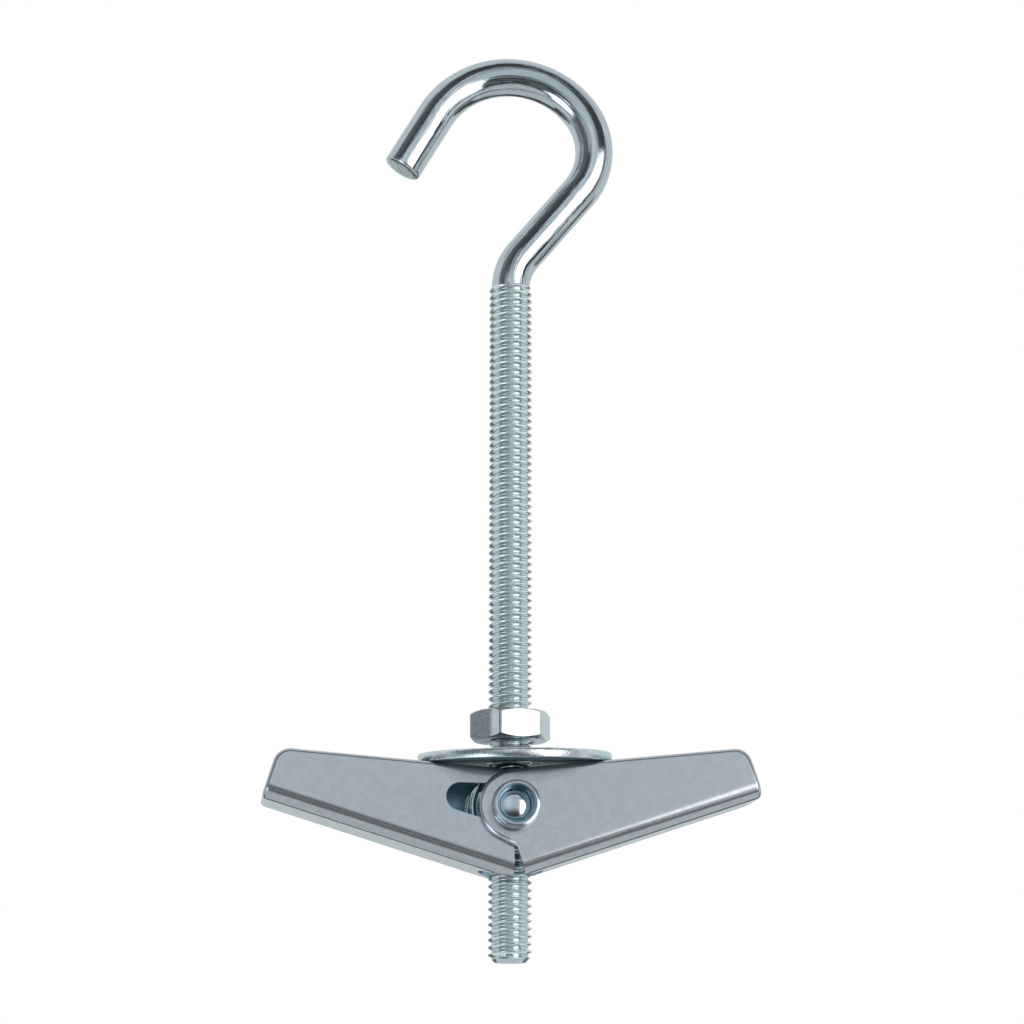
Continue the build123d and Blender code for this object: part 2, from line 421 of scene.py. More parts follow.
@dataclass(frozen=True)
class ZincFinish:
    """Bright zinc plating on steel: a metal with cloudy patches and a fine grain.

    Fields: the plating's colour and its duller colour, roughness and how much it
    varies, patches and grains to the millimetre, and the grain's height in mm. The
    contrasts are the noise levels between which patches and grains fade in. The patches'
    share of the dulling leaves the rest to the grains. Gloss is the specular level of
    what is not bare metal.
    """

    name: str
    colour: Colour
    dull_colour: Colour
    roughness: float
    roughness_spread: float
    patches: float
    grains: float
    grain_height: float
    patch_contrast: Border = (0.3, 0.7)
    patch_detail: float = 3.0
    patch_distortion: float = 0.4
    patch_share: float = 0.6
    grain_contrast: Border = (0.35, 0.65)
    grain_detail: float = 2.0
    metallic: float = 1.0
    gloss: float = 0.5

    def material(self) -> bpy.types.Material:
        """Return the finish as a new material: patches and grain, colour, then the bump.

        Returns:
            The material, with one Principled shader.
        """
        made = bpy.data.materials.new(self.name)
        made.use_nodes = True
        graph = Graph(made.node_tree)
        place = self.coordinates(graph)
        patch = noise(place, self.patches, self.patch_detail, self.patch_distortion)
        patch = patch.step(*self.patch_contrast)
        grain = noise(place, self.grains, self.grain_detail).step(*self.grain_contrast)
        colour, roughness = self.surface(place, patch, grain)
        relief = {"Distance": self.grain_height * MM, "Height": self.height(place, grain)}
        sockets = {
            "Base Color": colour,
            "Metallic": self.metal(place),
            "Roughness": roughness,
            "Specular IOR Level": self.gloss,
            "Normal": graph.value("ShaderNodeBump", {}, {"Strength": 1.0, **relief}),
        }
        shader = graph.node("ShaderNodeBsdfPrincipled", {}, sockets)
        graph.node("ShaderNodeOutputMaterial", {}, {"Surface": shader.outputs[0]})
        return made

    def coordinates(self, graph: Graph) -> Term:
        """Return the place that the patterns are laid out in."""
        return graph.value("ShaderNodeTexCoord", {}, {}, "Object")

    def surface(self, place: Term, patch: Term, grain: Term) -> tuple[Term, Term]:
        """Return the colour and the roughness.

        Args:
            place: The place that the patterns are laid out in.
            patch: The cloudy patches, 0 to 1.
            grain: The fine grain, 0 to 1.

        Returns:
            Terms for Base Color and Roughness.
        """
        dull = patch * self.patch_share + grain * (1.0 - self.patch_share)
        return dull.mix(self.colour, self.dull_colour), self.roughness + (dull - 0.5) * self.roughness_spread

    def metal(self, place: Term) -> Any:
        """Return how much of the surface is bare metal."""
        return self.metallic

    def height(self, place: Term, grain: Term) -> Term:
        """Return the height that the bump reads."""
        return grain


@dataclass(frozen=True)
class SheetFinish(ZincFinish):
    """Plating on the pressed sheet, whose flanges lean back a little from the upright."""

    lean: float = 3.5

    def height(self, place: Term, grain: Term) -> Term:
        """Return the grain with the flanges' lean in it: the height falls with Z."""
        fall = float(np.tan(np.radians(self.lean))) / (self.grain_height * MM)
        return grain - place.part(2) * fall


@dataclass(frozen=True)
class DarkSideFinish(ZincFinish):
    """Plating on the nut: smooth, but darker and speckled on the side away from +X."""

    dark_side_colour: Colour = (0.15, 0.155, 0.17)
    dark_side_border: Border = (-2.6, -3.3)
    dark_side_roughness: float = 0.1
    speckles: float = 9.0
    speckle_distortion: float = 1.0
    speckle_contrast: Border = (0.38, 0.62)
    speckle_share: float = 0.5

    def surface(self, place: Term, patch: Term, grain: Term) -> tuple[Term, Term]:
        """Return colour and roughness, with the darker side mixed in.

        Args:
            place: The place that the patterns are laid out in.
            patch: The cloudy patches, 0 to 1.
            grain: The fine grain, 0 to 1.

        Returns:
            Terms for Base Color and Roughness.
        """
        colour, roughness = super().surface(place, patch, grain)
        start, end = self.dark_side_border
        # The side away from +X is coloured darker and speckled.
        dark_side = place.part(0).step(start * MM, end * MM)
        speckle = noise(place, self.speckles, self.grain_detail, self.speckle_distortion)
        speckle = speckle.step(*self.speckle_contrast)
        darkened = dark_side * (1.0 - self.speckle_share + speckle * self.speckle_share)
        return darkened.mix(colour, self.dark_side_colour), roughness + dark_side * self.dark_side_roughness


@dataclass(frozen=True)
class WireFinish(ZincFinish):
    """Plating on the wire: drawn bright on the hook, paler on the thread, with a painted shade in its
    groove.

    The attribute holds each point's place on the wire as if it were straight. The
    groove's painted shade is told there by its distance from the axis, below the thread's end.
    Streaks are counted to the millimetre across the wire, and their length is the scale along it.
    """

    thread_colour: Colour = (0.84, 0.88, 0.89)
    # Painted shade: the thread's groove is coloured darker towards its root.
    groove_shade_colour: Colour = (0.58, 0.65, 0.66)
    groove_r: Border = (2.85, 2.4)
    thread_end: Border = (92.5, 92.3)
    thread_roughness: float = 0.07
    thread_metal: float = 0.94
    attribute: str = "unbent"
    streaks: float = 2.6
    streak_length: float = 0.035
    streak_colour: Colour = (0.4, 0.42, 0.44)
    streak_height: float = 0.012
    streak_detail: float = 3.0
    streak_contrast: Border = (0.42, 0.68)
    streak_share: float = 0.45
    streak_roughness: float = 0.05

    def coordinates(self, graph: Graph) -> Term:
        """Return the place on the straightened wire."""
        settings = {"attribute_type": "GEOMETRY", "attribute_name": self.attribute}
        return graph.value("ShaderNodeAttribute", settings, {}, "Vector")

    def on_thread(self, place: Term) -> Term:
        """Return 1 on the thread and 0 on the hook."""
        start, end = self.thread_end
        return place.part(2).step(start * MM, end * MM)

    def metal(self, place: Term) -> Term:
        """Return bare metal on the hook and a little less of it on the thread."""
        return 1.0 - self.on_thread(place) * (1.0 - self.thread_metal)

    def streak(self, place: Term) -> Term:
        """Return the drawing streaks: noise drawn out along the wire.

        Args:
            place: The place on the straightened wire.

        Returns:
            How far a point is in a streak, 0 to 1.
        """
        inputs = {"Vector": place, "Scale": (1.0, 1.0, self.streak_length)}
        drawn = place.graph.value("ShaderNodeMapping", {"vector_type": "POINT"}, inputs)
        return noise(drawn, self.streaks, self.streak_detail).step(*self.streak_contrast)

    def surface(self, place: Term, patch: Term, grain: Term) -> tuple[Term, Term]:
        """Return colour and roughness, with the streaks and the groove's painted shade mixed in.

        Args:
            place: The place on the straightened wire.
            patch: The cloudy patches, 0 to 1.
            grain: The fine grain, 0 to 1.

        Returns:
            Terms for Base Color and Roughness.
        """
        colour, roughness = super().surface(place, patch, grain)
        x, y = place.part(0), place.part(1)
        radius = (x * x + y * y).math("SQRT")
        on_thread = self.on_thread(place)
        drawn = self.streak(place) * (1.0 - on_thread)
        colour = (drawn * self.streak_share).mix(colour, self.streak_colour)
        colour = on_thread.mix(colour, self.thread_colour)
        # Painted shade: the lower a point lies in the thread's groove, the darker its colour.
        crest, root = self.groove_r
        groove_shade = radius.step(crest * MM, root * MM) * on_thread
        roughness = roughness + on_thread * self.thread_roughness + drawn * self.streak_roughness
        return groove_shade.mix(colour, self.groove_shade_colour), roughness

    def height(self, place: Term, grain: Term) -> Term:
        """Return the grain with the streaks' grooves in it."""
        return grain + self.streak(place) * (self.streak_height / self.grain_height)


class Finish(Enum):
    """The finishes of this anchor's pieces."""

    WIRE = WireFinish(
        name="polished_wire_zinc", colour=(0.62, 0.66, 0.69), dull_colour=(0.56, 0.6, 0.63),
        roughness=0.06, roughness_spread=0.04, patches=0.35, grains=3.0, grain_height=0.001,
    )
    NUT = DarkSideFinish(
        name="dark_side_nut_zinc", colour=(0.66, 0.68, 0.7), dull_colour=(0.55, 0.57, 0.6),
        roughness=0.14, roughness_spread=0.08, patches=1.2, grains=6.0, grain_height=0.003,
    )
    WASHER = ZincFinish(
        name="washer_zinc", colour=(0.82, 0.86, 0.88), dull_colour=(0.56, 0.6, 0.62),
        roughness=0.24, roughness_spread=0.12, patches=0.9, grains=5.0, grain_height=0.008,
    )
    # Painted shade: the washer's underside is coloured dark, dull and hardly metallic, as the shade under it
    # looks.
    UNDERSIDE_PAINTED_SHADE = ZincFinish(
        name="washer_underside_painted_shade", colour=(0.09, 0.14, 0.17), dull_colour=(0.05, 0.09, 0.11),
        roughness=0.4, roughness_spread=0.1, patches=0.6, grains=5.0, grain_height=0.003,
        metallic=0.15, gloss=0.1,
    )
    SHEET = SheetFinish(
        name="satin_sheet_zinc", colour=(0.51, 0.525, 0.555), dull_colour=(0.45, 0.465, 0.495),
        roughness=0.14, roughness_spread=0.05, patches=0.9, grains=6.0, grain_height=0.0018,
        metallic=0.93,
    )
    # Partly sheared metal, partly painted highlight: the eased edges are coloured brighter than the sheet,
    # so they show as pale lines.
    CUT_EDGE_AND_HIGHLIGHT = ZincFinish(
        name="worn_edge_and_highlight_zinc", colour=(0.78, 0.83, 0.86), dull_colour=(0.66, 0.7, 0.73),
        roughness=0.2, roughness_spread=0.1, patches=0.8, grains=7.0, grain_height=0.002,
    )
    # Painted shade, tinted teal: the sheet's faces inside the fold and in the collar's bell are coloured
    # darker.
    SHEET_INSIDE_PAINTED_SHADE = ZincFinish(
        name="inner_sheet_painted_shade", colour=(0.3, 0.46, 0.54), dull_colour=(0.22, 0.36, 0.43),
        roughness=0.22, roughness_spread=0.08, patches=0.6, grains=5.0, grain_height=0.003,
    )
    TRUNNION = ZincFinish(
        name="turned_zinc", colour=(0.62, 0.67, 0.7), dull_colour=(0.52, 0.56, 0.59),
        roughness=0.08, roughness_spread=0.06, patches=0.8, grains=6.0, grain_height=0.0015,
    )
    SPRING = ZincFinish(
        name="spring_wire_zinc", colour=(0.5, 0.55, 0.58), dull_colour=(0.4, 0.44, 0.47),
        roughness=0.14, roughness_spread=0.08, patches=1.5, grains=6.0, grain_height=0.002,
    )


MATERIALS: dict[Finish, bpy.types.Material] = {}


def dress(piece: bpy.types.Object, *finishes: Finish) -> None:
    """Give a piece its finishes, each made once and shared.

    Args:
        piece: The object to dress.
        finishes: Its finishes, in the order of their numbers.
    """
    piece.data.materials.clear()
    for finish in finishes:
        if finish not in MATERIALS:
            MATERIALS[finish] = finish.value.material()
        piece.data.materials.append(MATERIALS[finish])


def seat(piece: bpy.types.Object, body: Body, slot: Slot, *nodes: str) -> None:
    """Put a piece on its body, in the place of CAD nodes.

    Args:
        piece: The finished piece.
        body: The body that it rides on.
        slot: The record's material slot; not used.
        nodes: The CAD nodes that it stands for.
    """
    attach(piece, body.value)
    if nodes:
        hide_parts(*nodes)
    LOG.info("%s: %d faces", piece.name, len(piece.data.polygons))


@dataclass
class HookRod:
    """The bent wire: a rolled thread below and the open hook above.

    Runs are the hook's arcs and straights from the thread up, each a radius and a turn in
    degrees towards +X, or a length and 0. Crown is half the thread's section: places
    along one pitch and heights from root 0 to crest 1. The tip's tables count in bevels,
    back from the cut and in from the wire's side.
    """

    crest_r: float = 2.95
    root_r: float = 2.39
    pitch: float = 1.0
    length: float = 92.5
    end_chamfer: float = 0.9
    crest_runout: float = 0.35
    root_runout: float = 1.0
    wire_r: float = 2.625
    tip_bevel: float = 0.35
    tip_clear: float = 1.2
    tip_back: tuple[float, ...] = (1.0, 0.45, 0.12, 0.0, 0.0, 0.0)
    tip_inward: tuple[float, ...] = (0.0, 0.16, 0.6, 1.0, 3.0)
    seam: float = 0.004
    cut_error: float = 1e-6
    merge: float = 0.001
    sharp_angle: float = 42.0
    per_turn: int = 44
    around: int = 64
    step: float = 0.35
    runs: tuple[Border, ...] = (
        (7.4, 39.7), (12.25, 0.0), (9.5, -77.2), (12.3, -112.2), (9.3, 0.0),
    )
    crown: tuple[Border, ...] = (
        (0.0, 0.0), (0.09, 0.01), (0.15, 0.08), (0.28, 0.46), (0.37, 0.8), (0.42, 0.93), (0.5, 1.0),
    )

    def thread_profile(self) -> tuple[np.ndarray, np.ndarray]:
        """Return the thread's section over one pitch: the crown and its mirror.

        Returns:
            Places along the pitch from 0 to under 1, and heights from root 0 to crest 1.
        """
        place, height = np.array(self.crown).T
        place = np.concatenate([place, 1.0 - place[-2:0:-1]])
        height = np.concatenate([height, height[-2:0:-1]])
        return place, height

    def thread_grid(self) -> tuple[np.ndarray, np.ndarray]:
        """Return the helical strip of the thread.

        Point (i, j) is at the angle of column i of the turn and at the height
        pitch * (i / per_turn + place j - 1), so row j's last neighbour is row 0 one turn
        on. The radius is the profile's, held inside the cone of the end chamfer and
        between the cones of the run-out.

        Returns:
            Points in millimetres and quads.
        """
        place, height = self.thread_profile()
        rows, turns = len(place), int(np.ceil(self.length / self.pitch)) + 2
        i = np.arange(turns * self.per_turn + 1)[:, None]
        z = self.pitch * (i / self.per_turn + place[None, :] - 1.0)
        radius = self.root_r + (self.crest_r - self.root_r) * height[None, :] + 0.0 * z
        top, floor = (
            self.wire_r + (full - self.wire_r) * np.clip((self.length - z) / runout, 0.0, 1.0)
            for full, runout in ((self.crest_r, self.crest_runout), (self.root_r, self.root_runout))
        )
        radius = np.clip(radius, floor, top)
        radius = np.minimum(radius, self.crest_r - self.end_chamfer + np.maximum(z, 0.0))
        angle = 2.0 * np.pi * i / self.per_turn
        points = np.stack([radius * np.cos(angle), radius * np.sin(angle), z], axis=-1)
        a, j = np.meshgrid(np.arange((turns - 1) * self.per_turn), np.arange(rows), indexing="ij")
        up, over = (j + 1) % rows, np.where(j + 1 == rows, self.per_turn, 0)
        corners = (a * rows + j, (a + 1) * rows + j, (a + 1 + over) * rows + up, (a + over) * rows + up)
        return points.reshape(-1, 3), np.stack(corners, axis=-1).reshape(-1, 4)

    def hook_line(self) -> tuple[np.ndarray, np.ndarray]:
        """Return the hook's centreline from the thread's end to the tip.

        Each run is an arc or a straight: after a length s its point is the start plus
        s * sinc(turned / 2) along the heading turned by half of what it has turned.

        Returns:
            Points in the XZ plane and headings in radians from +Z towards +X.
        """
        point, heading = np.array([0.0, self.length]), 0.0
        points, headings = [point[None, :]], [np.array([heading])]
        for size, turn in self.runs:
            bend = np.radians(turn)
            length = size * abs(bend) if turn else size
            share = np.linspace(0.0, 1.0, max(3, int(length / self.step)))[1:]
            half = heading + bend * share / 2.0
            reach = length * share * np.sinc(bend * share / (2.0 * np.pi))
            run = point + reach[:, None] * np.stack([np.sin(half), np.cos(half)], axis=-1)
            points.append(run)
            headings.append(heading + bend * share)
            point, heading = run[-1], heading + bend
        return np.concatenate(points), np.concatenate(headings)

    def hook_grid(self) -> np.ndarray:
        """Return the hook's tube with its bevelled, cut tip closed to a pole.

        Returns:
            Points in millimetres of shape (rings, around, 3).
        """
        line, heading = self.hook_line()
        radii = np.full(len(line), self.wire_r)
        along = np.array([np.sin(heading[-1]), np.cos(heading[-1])])
        inward = np.array([*self.tip_inward, self.wire_r / self.tip_bevel])
        tip = line[-1] - self.tip_bevel * np.array(self.tip_back)[:, None] * along
        keep = np.linalg.norm(line - line[-1], axis=1) > self.tip_bevel * self.tip_clear
        line = np.concatenate([line[keep], tip])
        heading = np.concatenate([heading[keep], np.full(len(tip), heading[-1])])
        radii = np.concatenate([radii[keep], self.wire_r - self.tip_bevel * inward])
        zero = np.zeros(len(line))
        centres = np.stack([line[:, 0], zero, line[:, 1]], axis=-1)
        normals = np.stack([np.cos(heading), zero, -np.sin(heading)], axis=-1)
        return tube_points(centres, normals, np.tile([0.0, 1.0, 0.0], (len(line), 1)), radii, self.around)

    def unbend(self, mesh: bpy.types.Mesh) -> None:
        """Write each point's place on the straightened wire to the mesh, in metres.

        Above the thread a point belongs to the nearest point of the centreline. Its
        height is the length of the line up to there, and its X is how far it lies
        from the line, square to it in the plane of the hook.

        Args:
            mesh: The finished wire's mesh.
        """
        points = np.empty(len(mesh.vertices) * 3)
        mesh.vertices.foreach_get("co", points)
        points = points.reshape(-1, 3)
        line, heading = self.hook_line()
        length = self.length + np.r_[0.0, np.cumsum(np.linalg.norm(np.diff(line, axis=0), axis=1))]
        bent = np.flatnonzero(points[:, 2] > self.length * MM)
        flat = points[bent][:, [0, 2]] / MM
        near = np.argmin(np.linalg.norm(flat[:, None, :] - line[None, :, :], axis=2), axis=1)
        off = flat - line[near]
        side, ahead = np.cos(heading[near]), np.sin(heading[near])
        points[bent, 0] = (off[:, 0] * side - off[:, 1] * ahead) * MM
        points[bent, 2] = (length[near] + off[:, 0] * ahead + off[:, 1] * side) * MM
        layer = mesh.attributes.new(Finish.WIRE.value.attribute, "FLOAT_VECTOR", "POINT")
        layer.data.foreach_set("vector", points.ravel())

    def cut_square(self, work: bmesh.types.BMesh) -> None:
        """Cut the thread's strip off at the foot and where the hook starts, and close the foot.

        Args:
            work: The mesh in work, with the strip alone in it.
        """
        for height, up in ((0.0, -1.0), (self.length * MM, 1.0)):
            plane = {"plane_co": (0, 0, height), "plane_no": (0, 0, up), "dist": self.cut_error * MM}
            parts = [*work.verts, *work.edges, *work.faces]
            bmesh.ops.bisect_plane(work, geom=parts, clear_outer=True, **plane)
        foot = [e for e in work.edges if e.is_boundary and e.verts[0].co.z < MM]
        bmesh.ops.edgeloop_fill(work, edges=foot)

    def build(self) -> bpy.types.Object:
        """Make, dress and seat the wire: the thread's strip cut square and joined to the hook.

        Returns:
            The piece.
        """
        piece = make_piece("hook_and_thread", *self.thread_grid())
        hook = self.hook_grid()
        hook[0, :, 2] += self.seam
        mesh = bpy.data.meshes.new("hook_wire")
        quads = grid_faces(*hook.shape[:2], False)
        mesh.from_pydata((hook.reshape(-1, 3) * MM).tolist(), [], quads.tolist())
        work = bmesh.new()
        work.from_mesh(piece.data)
        self.cut_square(work)
        work.from_mesh(mesh)
        bmesh.ops.remove_doubles(work, verts=work.verts, dist=self.merge * MM)
        bmesh.ops.bridge_loops(work, edges=[e for e in work.edges if e.is_boundary])
        bmesh.ops.recalc_face_normals(work, faces=work.faces)
        LOG.info("open edges on the wire: %d", sum(e.is_boundary for e in work.edges))
        work.to_mesh(piece.data)
        work.free()
        self.unbend(piece.data)
        smooth_shade(piece, self.sharp_angle)
        dress(piece, Finish.WIRE)
        seat(piece, Body.HOOK, Slot.WIRE, "hook_rod")
        return piece


@dataclass
class HexNut:
    """The hexagon nut, with its corners turned down on both faces.

    Flat angles are the places across one flat, in degrees from its middle, close together
    at the corners. Edge shares are how far the turned edge's rounding reaches: outwards
    on the face, back from the corner and up.
    """

    across_flats: float = 9.8
    height: float = 3.9
    turn: float = 10.9
    bore_r: float = 3.0
    countersink: float = 0.55
    lip_width: float = 0.06
    lip_height: float = 0.04
    chamfer_angle: float = 30.0
    face_inset: float = 0.1
    corner_round: float = 0.48
    edge_round: float = 0.05
    edge_shares: tuple[float, float, float] = (0.5, 0.7, 0.2)
    sharp_angle: float = 24.0
    flat_angles: tuple[float, ...] = (
        -30, -29.4, -28.8, -28.2, -27.5, -26, -21, -14, -7, 0, 7, 14, 21, 26, 27.5, 28.2, 28.8, 29.4,
    )

    def outline(self) -> tuple[np.ndarray, np.ndarray]:
        """Return the rounded hexagon as angles and radii.

        On a flat the radius is the inner radius over the cosine of the angle from the
        flat's middle. Near a corner it is that of a small circle tangent to both flats.

        Returns:
            Angles in radians and radii in millimetres.
        """
        inner = self.across_flats / 2.0
        local = np.tile(np.radians(self.flat_angles), 6)
        middle = np.repeat(np.radians(np.arange(6) * 60.0), len(self.flat_angles))
        centre = (inner - self.corner_round) / np.cos(np.pi / 6)
        tangent = np.arctan(centre * 0.5 / inner)
        off = np.pi / 6 - np.abs(local)
        rest = np.maximum(self.corner_round**2 - (centre * np.sin(off)) ** 2, 0.0)
        arc = centre * np.cos(off) + np.sqrt(rest)
        radius = np.where(np.abs(local) > tangent, arc, inner / np.cos(local))
        return local + middle, radius

    def grid(self) -> np.ndarray:
        """Return the nut as columns round the hexagon, each a closed section.

        A section runs up the outside from the lower countersink, over the turned
        corner, and back down the bore. The corner drops by the radius past the turned
        face times the tangent of the chamfer's angle.

        Returns:
            Points in millimetres of shape (columns, places, 3).
        """
        angle, outer = self.outline()
        face = self.across_flats / 2.0 - self.face_inset
        drop = (outer - face) * np.tan(np.radians(self.chamfer_angle))
        sink, edge = self.bore_r + self.countersink, self.edge_round
        out, back, up = (edge * share for share in self.edge_shares)
        places = [
            (self.bore_r, self.countersink),
            (sink, self.lip_height),
            (sink + self.lip_width, 0.0),
            (face - edge, 0.0),
            (face + out, up),
            (outer - back, drop - up),
            (outer, drop + edge),
        ]
        low = np.array([[value + 0.0 * outer for value in place] for place in places])
        radius = np.concatenate([low[:, 0], low[::-1, 0]]).T
        z = np.concatenate([low[:, 1], self.height - low[::-1, 1]]).T
        return np.stack([radius * np.cos(angle)[:, None], radius * np.sin(angle)[:, None], z], axis=-1)

    def build(self) -> bpy.types.Object:
        """Make, dress and seat the nut where the frame has it.

        Returns:
            The piece.
        """
        low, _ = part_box("hex_nut")
        points = self.grid() @ turn_matrix("Z", self.turn - 90.0).T
        points = points + np.array([0.0, 0.0, low.z / MM])
        piece = grid_piece("hexagon_nut", points, True)
        smooth_shade(piece, self.sharp_angle)
        dress(piece, Finish.NUT)
        seat(piece, Body.NUT, Slot.NUT, "hex_nut")
        return piece


@dataclass
class Washer:
    """The wide punched washer: rolled over at the top rim, sheared below.

    The burr line is the sheared rim below, counted in burrs in from the rim and up.
    Underside is how steeply down a face looks that belongs to the underside, whose colour is a painted
    shade.
    """

    diameter: float = 26.0
    thickness: float = 1.25
    bore: float = 7.4
    shift: float = 0.62
    tilt: float = 3.5
    roll: float = 0.98
    rim_round: float = 0.35
    rim_places: int = 6
    flat_inset: float = 2.2
    lip: float = 0.21
    lip_cut: float = 0.3
    burr: float = 0.06
    burr_line: tuple[Border, ...] = ((3.0, 0.0), (1.0, 0.4), (0.0, 1.6))
    underside: float = 0.95
    sharp_angle: float = 40.0
    around: int = 192

    def section(self) -> np.ndarray:
        """Return the closed section, from the lower bore edge outwards and back.

        Returns:
            Radii and heights in millimetres, one row each.
        """
        outer, inner, top = self.diameter / 2.0, self.bore / 2.0, self.thickness
        bend = np.radians(np.linspace(0.0, 90.0, self.rim_places))
        rim = np.array([outer, top]) - self.rim_round * (1 - np.stack([np.cos(bend), np.sin(bend)], axis=-1))
        low = [(inner, self.burr), (inner + self.burr, 0.0)]
        low += [(outer - self.burr * back, self.burr * up) for back, up in self.burr_line]
        cut = self.lip * self.lip_cut
        high = [(outer - self.flat_inset, top), (inner + self.lip, top)]
        high += [(inner + cut, top - cut), (inner, top - self.lip)]
        return np.concatenate([low, rim, high])

    def build(self) -> bpy.types.Object:
        """Turn the section about its axis, lean it as it lies, and seat it.

        Returns:
            The piece.
        """
        low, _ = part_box("washer")
        lean = turn_matrix("X", self.tilt) @ turn_matrix("Y", -self.roll)
        drop = self.diameter / 2.0 * np.sqrt(1.0 - lean[2, 2] ** 2)
        points = turned_points(*self.section().T, self.around) @ lean.T
        points = points + np.array([self.shift, 0.0, low.z / MM + drop])
        piece = grid_piece("wide_washer", points, True)
        smooth_shade(piece, self.sharp_angle)
        dress(piece, Finish.WASHER, Finish.UNDERSIDE_PAINTED_SHADE)
        _, normals = face_layout(piece.data)
        # Faces that look steeply down take the painted shade of the underside.
        set_finishes(piece.data, (normals[:, 2] < -self.underside).astype(np.int32))
        seat(piece, Body.WASHER, Slot.WASHER, "washer")
        return piece


@dataclass
class Wing:
    """One folded wing: the frame's own form with its edges eased by the press.

    Faces inside the fold and in the collar's bell get a painted shade. Facing is how squarely
    a face looks inward, or up, to count as inside the fold. The floor's half width is that of
    the web's upper side, and the bell's radius reaches round the collar's mouth.
    """

    node: str
    body: Body
    edge_round: float = 0.11
    edge_faces: int = 2
    merge: float = 0.002
    flat_angle: float = 0.6
    sharp_angle: float = 38.0
    facing: float = 0.35
    floor_half_width: float = 4.8
    pivot_z: float = PIVOT_Z
    bell_r: float = 2.61

    def inside(self, mesh: bpy.types.Mesh) -> np.ndarray:
        """Return which faces get the painted shade: those that line the fold, and the collar's bell.

        Args:
            mesh: The wing's mesh.

        Returns:
            True for each face that gets the painted shade.
        """
        centres, normals = face_layout(mesh)
        inward = normals[:, 1] * np.sign(centres[:, 1]) < -self.facing
        floor = (normals[:, 2] > self.facing) & (np.abs(centres[:, 1]) < self.floor_half_width)
        spoke = (centres - np.array([0.0, 0.0, self.pivot_z])) * np.array([1.0, 0.0, 1.0])
        near = np.linalg.norm(spoke, axis=1) < self.bell_r
        bell = near & (np.sum(spoke * normals, axis=1) < 0.0)
        return inward | floor | bell

    def build(self) -> bpy.types.Object:
        """Copy the frame's mesh, merge it, join its flat faces and ease its edges.

        Returns:
            The piece.
        """
        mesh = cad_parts[self.node].data.copy()
        mesh.name = self.node + "_pressing"
        clean_mesh(mesh, self.merge)
        work = bmesh.new()
        work.from_mesh(mesh)
        angle = float(np.radians(self.flat_angle))
        bmesh.ops.dissolve_limit(work, angle_limit=angle, verts=work.verts, edges=work.edges)
        work.to_mesh(mesh)
        work.free()
        piece = bpy.data.objects.new(self.node + "_pressing", mesh)
        bpy.context.scene.collection.objects.link(piece)
        finishes = [Finish.SHEET, Finish.CUT_EDGE_AND_HIGHLIGHT, Finish.SHEET_INSIDE_PAINTED_SHADE]
        smooth_shade(piece, self.sharp_angle)
        # The eased edges take the brighter finish, which is partly a painted highlight.
        edge = finishes.index(Finish.CUT_EDGE_AND_HIGHLIGHT)
        add_bevel(piece, self.edge_round, self.sharp_angle, self.edge_faces, edge)
        keep_flat(piece)
        dress(piece, *finishes)
        # The inside faces take the painted shade.
        within = finishes.index(Finish.SHEET_INSIDE_PAINTED_SHADE)
        set_finishes(mesh, np.where(self.inside(mesh), within, 0).astype(np.int32))
        seat(piece, self.body, Slot.SHEET, self.node)
        return piece


